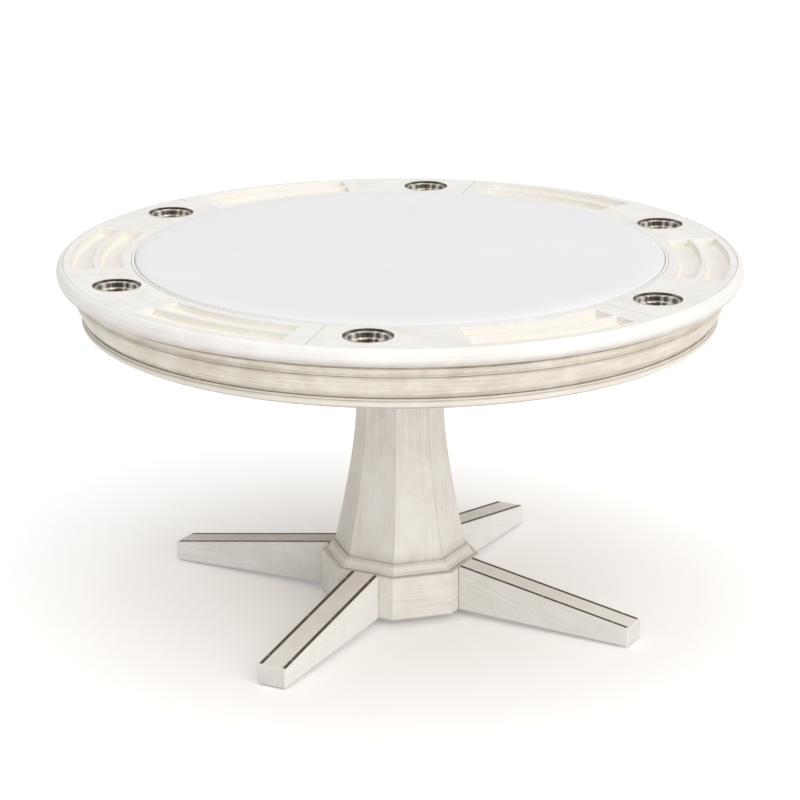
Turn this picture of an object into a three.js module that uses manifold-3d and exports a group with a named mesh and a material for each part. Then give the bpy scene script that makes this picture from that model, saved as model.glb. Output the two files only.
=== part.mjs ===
import * as THREE from 'three';
import { mergeVertices } from 'three/addons/utils/BufferGeometryUtils.js';
import Module from 'manifold-3d';

// A round pedestal gaming table: a padded playing panel inside a rail with cup
// liners and chip trays, on a flared octagonal column with four splayed legs.
// Lengths are in millimetres, +Z is up, and the origin is on the floor under
// the column. Angles are in degrees, anticlockwise seen from above, and 0
// points to the front, -Y.

const wasm = await Module();
wasm.setup();

// Common clearances
const GAP = 0.3; // between pieces that touch
const WELD = 1e-4; // vertices nearer than this are one vertex

// Table top
const RAIL_TOP = 773; // height of the flat rail
const TOP_RADIUS = 715; // outermost point of the rounded edge
const NOSING_DEPTH = 13.3;
const NOSING_HEIGHT = 37.4;
const RAIL_INNER = 560.7;
const RAIL_OUTER = 700.4;
const RAIL_THICKNESS = 37.7;
const SEGMENTS = 6;
const SEGMENT_ANGLE = 360 / SEGMENTS;
const FIRST_SEAM = -14.6; // direction of the seam that starts segment 1
const RING_SIDES = 60;

// Cup liners
const CUP_ANGLE = 9.1; // from the segment's first seam to the cup's axis
const CUP_PITCH_RADIUS = 623;
const CUP_FLANGE_RADIUS = 49.4;
const CUP_RIM_RADIUS = 47; // outside, like the two below
const CUP_STEP_RADIUS = 40;
const CUP_WELL_RADIUS = 34.5;
const CUP_RIM_DEPTH = 5;
const CUP_STEP_DEPTH = 14;
const CUP_DEPTH = 58;
const CUP_WALL = 1.5;
const CUP_HOLE_CLEARANCE = 0.9;
const CUP_SIDES = 16;

// Chip trays: two curved channels side by side in each segment
const TRAY_START = 26;
const TRAY_END = 55.5;
const CHANNEL_WIDTH = 47;
const CHANNEL_INNER_RADII = [580, 638];
const CHANNEL_WALL_DEPTH = 13;
const CHANNEL_DEPTH = 17.5;

// Playing panel and the boards under the rail
const PANEL_TOP = 780.5;
const PANEL_RADIUS = 552.9;
const PAD_THICKNESS = 19.2;
const PAD_EDGE_RADIUS = 8;
const BEAD_WIDTH = 5.1;
const BEAD_TOP = 774;
const SUB_TOP_RADIUS = 585; // inside the cups, under the rail's inner edge
const SUB_TOP_THICKNESS = 17.7;

// Apron under the top
const APRON_WALL = 12;
const COVE_BOTTOM = 709.3;
const BAND_BOTTOM = 662.5;
const APRON_BOTTOM = 641;

// Pedestal
const LEG_ANGLE = -27.9; // direction of leg 1
const OCTAGON = 8;
const CORNER_ANGLE = 360 / OCTAGON / 2; // from the middle of a face to its corner
const PLATE_RADIUS = 165; // to the corners
const PLATE_BOTTOM = 689;
const PLATE_TOP = 717;
const COUNTERBORE_RADIUS = 20;
const COUNTERBORE_BOTTOM = 700;
const BATTEN_BOTTOM = 672;
const BATTEN_END = 575;
const BATTEN_WIDTH = 70;
const COLUMN_TOP_RADIUS = 94.5; // to the corners
const COLUMN_FOOT_RADIUS = 142;
const COLUMN_WALL = 24;
const FLARE_TOP = 441; // the column is straight above this height
const FLARE_BOTTOM = 131;
const FLARE_STEPS = 9;
const PLUG_BORE = 7.5;
const ROD_RADIUS = 6;
const ROD_BOTTOM = 59;
const ROD_TOP = 714;
const NUT_HEIGHT = 12;
const BLOCK_RADIUS = 171; // to the corners
const BLOCK_TOP = 109.3;
const BLOCK_BOTTOM = 15;
const BLOCK_RECESS_RADIUS = 62;
const BLOCK_RECESS_TOP = 75;
const CAP_LIP_RADIUS = 160; // to the corners
const CAP_TOP = 131.3;

// Legs
const LEGS = 4;
const LEG_WIDTH = 65;
const LEG_TIP = 552;
const LEG_TIP_BOTTOM = 4; // the underside falls to this from the block's
const LEG_ROOT_TOP = 112.5;
const LEG_TIP_TOP = 45;
const LEG_TIP_CHAMFER = 3.5;
const STRIP_WIDTH = 6;
const STRIP_OFFSET = 27; // from the leg's middle to the strip's middle
const STRIP_START = 161;
const STRIP_END = 546;
const STRIP_SUNK = 0.9;
const STRIP_PROUD = 0.7;
const BOLT_HEIGHT = 51;
const BOLT_RADIUS = 4;
const BOLT_HEAD_RADIUS = 7.5;
const BOLT_START = 50; // reach of its head's end
const BOLT_END = 225;
const LEVELER_REACH = 515;
const LEVELER_PAD_RADIUS = 16;
const LEVELER_STEM_RADIUS = 4;
const LEVELER_STEM_TOP = 30;

const radians = THREE.MathUtils.degToRad;

// ---------------------------------------------------------------- finishes

function finish(color, roughness, metalness) {
  return new THREE.MeshStandardMaterial({ color, roughness, metalness });
}

const antiqueWhite = finish(0xe6e1d8, 0.5, 0);
const playingFabric = finish(0xeff0f2, 0.85, 0);
const bareWood = finish(0xc9ad84, 0.7, 0);
const polishedSteel = finish(0xb9b6ae, 0.15, 1);
const zincSteel = finish(0x9a9a98, 0.4, 1);
const agedBronze = finish(0x51453a, 0.5, 0.7);
const leveler = finish(0x2c2c2b, 0.5, 0);

// ------------------------------------------------------------------ shapes

// A level vector of length 1 in a direction.
function direction(angle) {
  const turn = radians(angle);
  return new THREE.Vector2(Math.sin(turn), -Math.cos(turn));
}

// Turns an outline of [radius, height] points about the vertical axis.
function turned(outline, sides, firstCorner = 0) {
  const points = outline.map(([radius, height]) => new THREE.Vector2(radius, height));
  const start = radians(firstCorner);
  return new THREE.LatheGeometry(points, sides, start, 2 * Math.PI).rotateX(Math.PI / 2);
}

// The same for a ring, whose outline closes on itself.
function turnedRing(outline, sides, firstCorner = 0) {
  return turned([...outline, outline[0]], sides, firstCorner);
}

// A disc or rod with a plain rectangular section.
function turnedDisc(radius, bottom, top, sides, firstCorner = 0) {
  const outline = [[0, bottom], [radius, bottom], [radius, top], [0, top]];
  return turned(outline, sides, firstCorner);
}

// A slab with a side view of [reach, height] points, that reaches to the front.
function slab(sideView, width, sideways = 0) {
  const shape = new THREE.Shape(sideView.map(([reach, height]) => new THREE.Vector2(reach, height)));
  const geometry = new THREE.ExtrudeGeometry(shape, { depth: width, bevelEnabled: false });
  geometry.translate(0, 0, -width / 2 - sideways);
  return geometry.rotateX(Math.PI / 2).rotateZ(-Math.PI / 2);
}

// A round bar lying level that reaches to the front, from an outline of
// [radius, reach] points.
function levelBar(outline, height, sides) {
  return turned(outline, sides).rotateX(Math.PI / 2).translate(0, 0, height);
}

// A tall wedge between two directions, its sides moved in by a gap.
function wedge(startAngle, endAngle, gap = 0) {
  const farReach = 1000;
  const depth = 900;
  const middle = (startAngle + endAngle) / 2;
  const half = radians((endAngle - startAngle) / 2);
  const apex = direction(middle).multiplyScalar(gap / Math.sin(half));
  const start = direction(startAngle).multiplyScalar(farReach).add(apex);
  const end = direction(endAngle).multiplyScalar(farReach).add(apex);
  const shape = new THREE.Shape([apex, start, end]);
  return new THREE.ExtrudeGeometry(shape, { depth, bevelEnabled: false });
}

// ---------------------------------------------------------------- booleans

function solidFrom(geometry) {
  const bare = geometry.clone();
  bare.deleteAttribute('normal');
  bare.deleteAttribute('uv');
  const merged = mergeVertices(bare, WELD);
  const corners = merged.index.array;
  const faces = [];
  for (let i = 0; i < corners.length; i += 3) {
    const [a, b, c] = corners.slice(i, i + 3);
    if (a !== b && b !== c && c !== a) faces.push(a, b, c);
  }
  const vertProperties = merged.attributes.position.array;
  const triVerts = new Uint32Array(faces);
  return new wasm.Manifold(new wasm.Mesh({ numProp: 3, vertProperties, triVerts }));
}

function geometryFrom(solid) {
  const mesh = solid.getMesh();
  const geometry = new THREE.BufferGeometry();
  geometry.setAttribute('position', new THREE.BufferAttribute(mesh.vertProperties, 3));
  geometry.setIndex(new THREE.BufferAttribute(mesh.triVerts, 1));
  geometry.computeVertexNormals();
  return geometry;
}

// A geometry with others cut out of it.
function cut(geometry, cutters) {
  let solid = solidFrom(geometry);
  for (const cutter of cutters) solid = solid.subtract(solidFrom(cutter));
  return geometryFrom(solid);
}

// The part of a geometry that lies inside another.
function within(geometry, limits) {
  return geometryFrom(solidFrom(geometry).intersect(solidFrom(limits)));
}

// --------------------------------------------------------------- table top

function channelCutter(innerRadius) {
  const outerRadius = innerRadius + CHANNEL_WIDTH;
  const wallFoot = RAIL_TOP - CHANNEL_WALL_DEPTH;
  const floor = RAIL_TOP - CHANNEL_DEPTH;
  const slope = CHANNEL_WIDTH / 4;
  const outline = [
    [innerRadius, wallFoot],
    [innerRadius + slope, floor],
    [outerRadius - slope, floor],
    [outerRadius, wallFoot],
    [outerRadius, RAIL_TOP + 1],
    [innerRadius, RAIL_TOP + 1],
  ];
  return within(turnedRing(outline, RING_SIDES), wedge(TRAY_START, TRAY_END));
}

// One sixth of the rail, from direction 0 to direction 60.
function railSegment() {
  const underside = RAIL_TOP - RAIL_THICKNESS;
  const outline = [
    [RAIL_INNER, underside],
    [RAIL_OUTER, underside],
    [RAIL_OUTER, RAIL_TOP],
    [RAIL_INNER, RAIL_TOP],
  ];
  const segment = within(turnedRing(outline, RING_SIDES), wedge(0, SEGMENT_ANGLE, GAP / 2));
  const cupCentre = direction(CUP_ANGLE).multiplyScalar(CUP_PITCH_RADIUS);
  const rebate = RAIL_TOP - CUP_RIM_DEPTH - 2; // the rim's seat
  const cupHoles = [
    turnedDisc(CUP_RIM_RADIUS + CUP_HOLE_CLEARANCE, rebate, RAIL_TOP + 1, CUP_SIDES),
    turnedDisc(CUP_STEP_RADIUS + CUP_HOLE_CLEARANCE, underside - 1, RAIL_TOP, CUP_SIDES),
  ];
  for (const hole of cupHoles) hole.translate(cupCentre.x, cupCentre.y, 0);
  return cut(segment, [...cupHoles, ...CHANNEL_INNER_RADII.map(channelCutter)]);
}

// A cup in sheet steel with two steps, its axis on the vertical axis.
function cupLiner() {
  const flangeBottom = RAIL_TOP + GAP;
  const flangeTop = flangeBottom + CUP_WALL;
  const bottom = RAIL_TOP - CUP_DEPTH;
  const rimFoot = RAIL_TOP - CUP_RIM_DEPTH;
  const stepFoot = RAIL_TOP - CUP_STEP_DEPTH;
  return turned(
    [
      [0, bottom],
      [CUP_WELL_RADIUS, bottom],
      [CUP_WELL_RADIUS, stepFoot - CUP_WALL],
      [CUP_STEP_RADIUS, stepFoot],
      [CUP_STEP_RADIUS, rimFoot - CUP_WALL],
      [CUP_RIM_RADIUS, rimFoot],
      [CUP_RIM_RADIUS, flangeBottom],
      [CUP_FLANGE_RADIUS, flangeBottom],
      [CUP_FLANGE_RADIUS, flangeTop],
      [CUP_RIM_RADIUS - CUP_WALL, flangeTop],
      [CUP_RIM_RADIUS - CUP_WALL, rimFoot + CUP_WALL],
      [CUP_STEP_RADIUS - CUP_WALL, rimFoot],
      [CUP_STEP_RADIUS - CUP_WALL, stepFoot + CUP_WALL],
      [CUP_WELL_RADIUS - CUP_WALL, stepFoot],
      [CUP_WELL_RADIUS - CUP_WALL, bottom + CUP_WALL],
      [0, bottom + CUP_WALL],
    ],
    CUP_SIDES,
  );
}

// The rounded outer edge: a half ellipse glued to the rail.
function edgeNosing() {
  const steps = 6;
  const innerRadius = TOP_RADIUS - NOSING_DEPTH;
  const middle = RAIL_TOP - NOSING_HEIGHT / 2;
  const outline = [];
  for (let i = 0; i <= steps; i += 1) {
    const turn = -Math.PI / 2 + (Math.PI * i) / steps;
    const radius = innerRadius + NOSING_DEPTH * Math.cos(turn);
    outline.push([radius, middle + (NOSING_HEIGHT / 2) * Math.sin(turn)]);
  }
  return turnedRing(outline, RING_SIDES);
}

function innerBead(bottom) {
  const outer = RAIL_INNER - 1.1;
  const inner = outer - BEAD_WIDTH;
  const round = BEAD_WIDTH / 4;
  const outline = [
    [inner, bottom],
    [outer, bottom],
    [outer, BEAD_TOP - round],
    [outer - round, BEAD_TOP],
    [inner + round, BEAD_TOP],
    [inner, BEAD_TOP - round],
  ];
  return turnedRing(outline, RING_SIDES);
}

function panelPad() {
  const bottom = PANEL_TOP - PAD_THICKNESS;
  const round = PAD_EDGE_RADIUS * (1 - Math.SQRT1_2);
  return turned(
    [
      [0, bottom],
      [PANEL_RADIUS, bottom],
      [PANEL_RADIUS, PANEL_TOP - PAD_EDGE_RADIUS],
      [PANEL_RADIUS - round, PANEL_TOP - round],
      [PANEL_RADIUS - PAD_EDGE_RADIUS, PANEL_TOP],
      [0, PANEL_TOP],
    ],
    RING_SIDES,
  );
}

// ------------------------------------------------------------------- apron

function apronCove(top) {
  const inner = 673.5;
  const outline = [
    [inner, COVE_BOTTOM],
    [680.5, COVE_BOTTOM],
    [682, COVE_BOTTOM + 7.7],
    [685.5, COVE_BOTTOM + 17.7],
    [689.5, top],
    [inner, top],
  ];
  return turnedRing(outline, RING_SIDES);
}

function apronBand() {
  const top = COVE_BOTTOM - GAP;
  const outline = [
    [662, BAND_BOTTOM],
    [668, BAND_BOTTOM + 9.5],
    [674.5, BAND_BOTTOM + 23.5],
    [679, BAND_BOTTOM + 38.5],
    [680.5, top],
    [680.5 - APRON_WALL, top],
    [674.5 - APRON_WALL, BAND_BOTTOM + 23.5],
    [662 - APRON_WALL, BAND_BOTTOM],
  ];
  return turnedRing(outline, RING_SIDES);
}

function apronBead() {
  const top = BAND_BOTTOM - GAP;
  const inner = 649.5;
  const outline = [
    [inner, APRON_BOTTOM],
    [657.5, APRON_BOTTOM],
    [663.5, APRON_BOTTOM + 5],
    [666, APRON_BOTTOM + 11.5],
    [665, APRON_BOTTOM + 18],
    [661.5, top],
    [inner, top],
  ];
  return turnedRing(outline, RING_SIDES);
}

// ---------------------------------------------------------------- pedestal

function mountingPlate() {
  const outline = [
    [PLUG_BORE, PLATE_BOTTOM],
    [PLATE_RADIUS, PLATE_BOTTOM],
    [PLATE_RADIUS, PLATE_TOP],
    [COUNTERBORE_RADIUS, PLATE_TOP],
    [COUNTERBORE_RADIUS, COUNTERBORE_BOTTOM],
    [PLUG_BORE, COUNTERBORE_BOTTOM],
  ];
  return turnedRing(outline, OCTAGON, LEG_ANGLE + CORNER_ANGLE);
}

function supportBatten() {
  const start = PLATE_RADIUS * Math.cos(radians(CORNER_ANGLE)) + GAP;
  const taper = 35;
  const endBottom = BATTEN_BOTTOM + 19;
  return slab(
    [
      [start, BATTEN_BOTTOM],
      [BATTEN_END - taper, BATTEN_BOTTOM],
      [BATTEN_END, endBottom],
      [BATTEN_END, PLATE_TOP],
      [start, PLATE_TOP],
    ],
    BATTEN_WIDTH,
  );
}

// One of the column's eight mitred staves, facing the front.
function columnStave() {
  const foot = BLOCK_TOP + GAP;
  const top = PLATE_BOTTOM - GAP;
  const flare = new THREE.CubicBezierCurve(
    new THREE.Vector2(COLUMN_FOOT_RADIUS, FLARE_BOTTOM),
    new THREE.Vector2(124, FLARE_BOTTOM + 85),
    new THREE.Vector2(COLUMN_TOP_RADIUS, FLARE_TOP - 90),
    new THREE.Vector2(COLUMN_TOP_RADIUS, FLARE_TOP),
  );
  const outside = [[COLUMN_FOOT_RADIUS, foot]];
  for (const point of flare.getPoints(FLARE_STEPS)) outside.push([point.x, point.y]);
  outside.push([COLUMN_TOP_RADIUS, top]);
  const inside = outside.map(([radius, height]) => [radius - COLUMN_WALL, height]).reverse();
  const column = turnedRing([...outside, ...inside], OCTAGON, CORNER_ANGLE);
  return within(column, wedge(-CORNER_ANGLE, CORNER_ANGLE, GAP / 2));
}

function octagonPlug(radius, bottom, top) {
  const outline = [
    [PLUG_BORE, bottom],
    [radius, bottom],
    [radius, top],
    [PLUG_BORE, top],
  ];
  return turnedRing(outline, OCTAGON, LEG_ANGLE + CORNER_ANGLE);
}

// A flanged hexagon nut. The flange is at the seat, and the nut stands up from
// it, or hangs from it where the height is negative.
function flangeNut(seat, height) {
  const bore = 7.4;
  const outline = [
    [bore, seat],
    [17, seat],
    [17, seat + height / 4],
    [12, seat + height / 4],
    [12, seat + height],
    [bore, seat + height],
  ];
  return turnedRing(height > 0 ? outline : outline.reverse(), 6);
}

function baseCapMoulding() {
  const inner = COLUMN_FOOT_RADIUS + 0.5;
  const bottom = BLOCK_TOP + GAP;
  const outline = [
    [inner, bottom],
    [CAP_LIP_RADIUS, bottom],
    [CAP_LIP_RADIUS, bottom + 3.5],
    [154, bottom + 9],
    [149.5, CAP_TOP - 3],
    [144.5, CAP_TOP],
    [inner, CAP_TOP],
  ];
  return turnedRing(outline, OCTAGON, LEG_ANGLE + CORNER_ANGLE);
}

function baseBlock() {
  const chamfer = 3;
  const outline = [
    [BLOCK_RECESS_RADIUS, BLOCK_BOTTOM],
    [BLOCK_RADIUS, BLOCK_BOTTOM],
    [BLOCK_RADIUS, BLOCK_TOP - chamfer],
    [BLOCK_RADIUS - chamfer, BLOCK_TOP],
    [PLUG_BORE, BLOCK_TOP],
    [PLUG_BORE, BLOCK_RECESS_TOP],
    [BLOCK_RECESS_RADIUS, BLOCK_RECESS_TOP],
  ];
  const block = turnedRing(outline, OCTAGON, LEG_ANGLE + CORNER_ANGLE);
  const holes = [];
  for (let i = 0; i < LEGS; i += 1) {
    const hole = boltHole(BLOCK_RECESS_RADIUS - 10, BLOCK_RADIUS);
    holes.push(hole.rotateZ(radians(LEG_ANGLE + (i * 360) / LEGS)));
  }
  return cut(block, holes);
}

// -------------------------------------------------------------------- legs

const legRoot = BLOCK_RADIUS * Math.cos(radians(CORNER_ANGLE)) + GAP;

// Height of the leg's sloping top at a distance from the column's axis.
function legTopAt(reach) {
  const run = LEG_TIP - LEG_TIP_CHAMFER - legRoot;
  const rise = LEG_ROOT_TOP - LEG_TIP_TOP;
  return LEG_ROOT_TOP - (rise * (reach - legRoot)) / run;
}

// A bar along the leg's top, between two depths measured up from that top.
function topBar(start, end, low, high, width, sideways) {
  return slab(
    [
      [start, legTopAt(start) + low],
      [end, legTopAt(end) + low],
      [end, legTopAt(end) + high],
      [start, legTopAt(start) + high],
    ],
    width,
    sideways,
  );
}

function boltHole(start, end) {
  const radius = BOLT_RADIUS + 0.5;
  return levelBar([[0, start], [radius, start], [radius, end], [0, end]], BOLT_HEIGHT, 8);
}

function leg() {
  const body = slab(
    [
      [legRoot, BLOCK_BOTTOM],
      [LEG_TIP, LEG_TIP_BOTTOM],
      [LEG_TIP, LEG_TIP_TOP - LEG_TIP_CHAMFER],
      [LEG_TIP - LEG_TIP_CHAMFER, LEG_TIP_TOP],
      [legRoot, LEG_ROOT_TOP],
    ],
    LEG_WIDTH,
  );
  const stemHole = turnedDisc(LEVELER_STEM_RADIUS + 0.6, 0, LEVELER_STEM_TOP + 4, 8);
  stemHole.translate(0, -LEVELER_REACH, 0);
  const grooveWidth = STRIP_WIDTH + 0.8;
  const grooves = [-STRIP_OFFSET, STRIP_OFFSET].map((sideways) =>
    topBar(STRIP_START - 1, STRIP_END + 1, -STRIP_SUNK - GAP, 5, grooveWidth, sideways),
  );
  return cut(body, [stemHole, boltHole(legRoot - 1, BOLT_END + 1), ...grooves]);
}

function legStrip(sideways) {
  return topBar(STRIP_START, STRIP_END, -STRIP_SUNK, STRIP_PROUD, STRIP_WIDTH, sideways);
}

// A lag bolt that holds a leg, its head in the block's recess.
function legBolt() {
  const headEnd = BOLT_START + 6;
  return levelBar(
    [
      [0, BOLT_START],
      [BOLT_HEAD_RADIUS, BOLT_START],
      [BOLT_HEAD_RADIUS, headEnd],
      [BOLT_RADIUS, headEnd],
      [BOLT_RADIUS, BOLT_END - 10],
      [0, BOLT_END],
    ],
    BOLT_HEIGHT,
    6,
  );
}

function levelerFoot() {
  const padTop = LEG_TIP_BOTTOM - GAP;
  return turned(
    [
      [0, 0],
      [LEVELER_PAD_RADIUS, 0],
      [LEVELER_PAD_RADIUS, 2],
      [LEVELER_PAD_RADIUS - 2, padTop],
      [LEVELER_STEM_RADIUS, padTop],
      [LEVELER_STEM_RADIUS, LEVELER_STEM_TOP],
      [0, LEVELER_STEM_TOP],
    ],
    16,
  );
}

// ---------------------------------------------------------------- assembly

const table = new THREE.Group();

// Adds a piece that is turned about the column's axis by an angle.
function add(name, geometry, material, angle = 0) {
  const mesh = new THREE.Mesh(geometry, material.clone());
  mesh.name = name;
  mesh.rotation.z = radians(angle);
  table.add(mesh);
  return mesh;
}

const segmentGeometry = railSegment();
const cupGeometry = cupLiner();
for (let i = 0; i < SEGMENTS; i += 1) {
  const seam = FIRST_SEAM + i * SEGMENT_ANGLE;
  add(`rail_segment_${i + 1}`, segmentGeometry, antiqueWhite, seam);
  const cup = add(`cup_liner_${i + 1}`, cupGeometry, polishedSteel, seam);
  const centre = direction(seam + CUP_ANGLE).multiplyScalar(CUP_PITCH_RADIUS);
  cup.position.set(centre.x, centre.y, 0);
}

const subTopBottom = PLATE_TOP + GAP;
const subTopTop = subTopBottom + SUB_TOP_THICKNESS;
const boardBottom = subTopTop + GAP;
const boardTop = PANEL_TOP - PAD_THICKNESS - GAP;
add('edge_nosing', edgeNosing(), antiqueWhite);
add('inner_bead', innerBead(boardBottom), antiqueWhite);
add('panel_pad', panelPad(), playingFabric);
add('panel_board', turnedDisc(PANEL_RADIUS - 1, boardBottom, boardTop, RING_SIDES), bareWood);
add('sub_top', turnedDisc(SUB_TOP_RADIUS, subTopBottom, subTopTop, RING_SIDES), bareWood);

add('apron_cove', apronCove(subTopTop), antiqueWhite);
add('apron_band', apronBand(), antiqueWhite);
add('apron_bead', apronBead(), antiqueWhite);

add('mounting_plate', mountingPlate(), bareWood);
const battenGeometry = supportBatten();
for (let i = 0; i < LEGS; i += 1) {
  add(`support_batten_${i + 1}`, battenGeometry, bareWood, LEG_ANGLE + (i * 360) / LEGS);
}

const staveGeometry = columnStave();
for (let i = 0; i < OCTAGON; i += 1) {
  add(`column_stave_${i + 1}`, staveGeometry, antiqueWhite, LEG_ANGLE + (i * 360) / OCTAGON);
}
const topPlugRadius = COLUMN_TOP_RADIUS - COLUMN_WALL - 0.5;
const columnTop = PLATE_BOTTOM - GAP;
const columnFoot = BLOCK_TOP + GAP;
const topPlugBottom = columnTop - 38;
const basePlugRadius = COLUMN_FOOT_RADIUS - COLUMN_WALL - 4; // clear of the flare
const basePlugTop = columnFoot + 29;
add('column_top_plug', octagonPlug(topPlugRadius, topPlugBottom, columnTop), bareWood);
add('column_base_plug', octagonPlug(basePlugRadius, columnFoot, basePlugTop), bareWood);
add('tie_rod', turnedDisc(ROD_RADIUS, ROD_BOTTOM, ROD_TOP, 12), zincSteel);
add('tie_rod_top_nut', flangeNut(COUNTERBORE_BOTTOM + GAP, NUT_HEIGHT), zincSteel);
add('tie_rod_base_nut', flangeNut(BLOCK_RECESS_TOP - GAP, -NUT_HEIGHT), zincSteel);
add('base_cap_moulding', baseCapMoulding(), antiqueWhite);
add('base_block', baseBlock(), antiqueWhite);

const legGeometry = leg();
const boltGeometry = legBolt();
const footGeometry = levelerFoot();
for (let i = 0; i < LEGS; i += 1) {
  const angle = LEG_ANGLE + (i * 360) / LEGS;
  add(`leg_${i + 1}`, legGeometry, antiqueWhite, angle);
  add(`leg_${i + 1}_strip_left`, legStrip(-STRIP_OFFSET), agedBronze, angle);
  add(`leg_${i + 1}_strip_right`, legStrip(STRIP_OFFSET), agedBronze, angle);
  add(`leg_bolt_${i + 1}`, boltGeometry, zincSteel, angle);
  const foot = add(`leveler_${i + 1}`, footGeometry, leveler, angle);
  const centre = direction(angle).multiplyScalar(LEVELER_REACH);
  foot.position.set(centre.x, centre.y, 0);
}

export default table;
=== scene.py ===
"""The gaming table's visual model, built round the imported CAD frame.

Lengths are in metres. Directions on the table are in degrees, anticlockwise
seen from above, and 0 points to the front, -Y.
"""

from itertools import pairwise, product
from math import cos, degrees, exp, hypot, pi, radians, sin, sqrt, tan, tanh

import bmesh
import bpy
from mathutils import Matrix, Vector


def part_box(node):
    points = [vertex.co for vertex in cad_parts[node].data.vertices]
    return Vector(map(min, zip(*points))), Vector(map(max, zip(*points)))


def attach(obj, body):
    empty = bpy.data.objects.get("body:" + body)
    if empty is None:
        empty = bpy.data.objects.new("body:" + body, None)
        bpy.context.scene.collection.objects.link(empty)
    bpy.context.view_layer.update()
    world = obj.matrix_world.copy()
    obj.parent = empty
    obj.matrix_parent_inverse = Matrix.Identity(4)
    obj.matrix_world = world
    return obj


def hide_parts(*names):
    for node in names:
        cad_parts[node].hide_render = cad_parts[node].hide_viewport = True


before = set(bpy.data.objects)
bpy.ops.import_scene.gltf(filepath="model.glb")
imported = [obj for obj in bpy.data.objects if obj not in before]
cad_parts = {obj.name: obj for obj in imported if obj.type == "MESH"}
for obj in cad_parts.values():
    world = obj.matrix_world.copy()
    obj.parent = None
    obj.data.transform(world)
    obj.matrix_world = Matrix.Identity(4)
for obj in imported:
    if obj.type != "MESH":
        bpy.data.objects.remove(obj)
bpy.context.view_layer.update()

MM = 0.001


def heights(node):
    """A CAD node's lowest and highest z."""
    low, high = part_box(node)
    return low.z, high.z


# Places taken from the frame
TOP_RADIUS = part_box("edge_nosing")[1].x
PANEL_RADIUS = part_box("panel_pad")[1].x
BEAD_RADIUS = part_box("inner_bead")[1].x
RAIL_BOTTOM, RAIL_TOP = heights("rail_segment_1")
NOSING_BOTTOM = heights("edge_nosing")[0]
PANEL_BOTTOM, PANEL_TOP = heights("panel_pad")
BEAD_BOTTOM, BEAD_TOP = heights("inner_bead")
COVE_BOTTOM, COVE_TOP = heights("apron_cove")
BAND_BOTTOM, BAND_TOP = heights("apron_band")
APRON_BOTTOM, APRON_TOP = heights("apron_bead")
COLUMN_FOOT, COLUMN_TOP = heights("column_stave_1")
CAP_BOTTOM, CAP_TOP = heights("base_cap_moulding")
BLOCK_BOTTOM, BLOCK_TOP = heights("base_block")
LEG_TIP_BOTTOM, LEG_ROOT_TOP = heights("leg_1")

# The same driving dimensions as the CAD part
FIRST_SEAM = -14.6
SEGMENTS = 6
SEGMENT_ANGLE = 360 / SEGMENTS
RAIL_INNER = 0.56
RAIL_OUTER = 0.7009
CUP_ANGLE = 9.1
CUP_PITCH_RADIUS = 0.623
TRAY_START = 26
TRAY_END = 55.5
CHANNEL_WIDTH = 47 * MM
CHANNEL_INNER_RADII = (0.58, 0.638)
LEG_ANGLES = [-27.9 + 90 * k for k in range(4)]
SIDE_ANGLES = [-27.9 + 45 * k for k in range(8)]  # of the octagonal pedestal
CORNER_TAN = tan(radians(22.5))
CORNER_COS = cos(radians(22.5))
LEG_TIP = 0.552
LEVELER_REACH = 0.515
LEG_TIP_TOP = 45 * MM
LEG_ROOT = 158.3 * MM
LEG_HALF_WIDTH = 32.5 * MM
STRIP_OFFSET = 27 * MM
STRIP_START = 0.161
STRIP_END = 0.546
STRIP_PROUD = 0.7 * MM
STRIP_SUNK = 0.9 * MM

RING_SIDES = 288

# Shifts that give each piece brush strokes of its own
OCTAGON_SHIFT = 2
LEG_SHIFT = 3


# ---- mesh making


def direction(angle):
    """A level unit vector."""
    turn = radians(angle)
    return Vector((sin(turn), -cos(turn), 0))


def spot(angle, reach, aside, height):
    """A point so far out in a direction, so far aside of it anticlockwise, and so high."""
    point = direction(angle) * reach + direction(angle + 90) * aside
    point.z = height
    return point


def interpolate(table, x):
    """The value at x in a list of (x, value) pairs, held level at its ends."""
    if x <= table[0][0]:
        return table[0][1]
    for (x0, y0), (x1, y1) in pairwise(table):
        if x <= x1:
            return y0 + (y1 - y0) * (x - x0) / (x1 - x0)
    return table[-1][1]


def smoothstep(low, high, x):
    """0 below low, 1 above high, and a smooth rise between."""
    t = min(max((x - low) / (high - low), 0), 1)
    return t * t * (3 - 2 * t)


def metres(base, corners, factor=1):
    """Corners given in millimetres as (radius, height above base, arc, glaze)."""
    return [(r * MM * factor, base + z * MM, arc * MM, g) for r, z, arc, g in corners]


def arc(*angles):
    """The cosine and sine of each angle."""
    return [(cos(radians(a)), sin(radians(a))) for a in angles]


def between(start, end, steps):
    """The values that divide a range into steps, without its ends."""
    return [start + (end - start) * step / steps for step in range(1, steps)]


def rounded(corners, steps=4):
    """An outline of (x, y, glaze) from (x, y, arc, glaze) corners; arc is the radius there."""
    outline = []
    count = len(corners)
    for i, (x, y, radius, glaze) in enumerate(corners):
        if radius == 0:
            outline.append((x, y, glaze))
            continue
        here = Vector((x, y))
        before = Vector(corners[i - 1][:2]) - here
        after = Vector(corners[(i + 1) % count][:2]) - here
        half = before.angle(after) / 2
        reach = min(radius / tan(half), 0.49 * before.length, 0.49 * after.length)
        start = here + before.normalized() * reach
        end = here + after.normalized() * reach
        for step in range(steps + 1):
            t = step / steps
            point = (1 - t) ** 2 * start + 2 * t * (1 - t) * here + t * t * end
            outline.append((point.x, point.y, glaze))
    return outline


def border(i0, i1, j0, j1):
    """The keys round a rectangle of a grid, in order."""
    keys = [(i, j0) for i in range(i0, i1)]
    keys += [(i1, j) for j in range(j0, j1)]
    keys += [(i, j1) for i in range(i1, i0, -1)]
    return keys + [(i0, j) for j in range(j1, j0, -1)]


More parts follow.
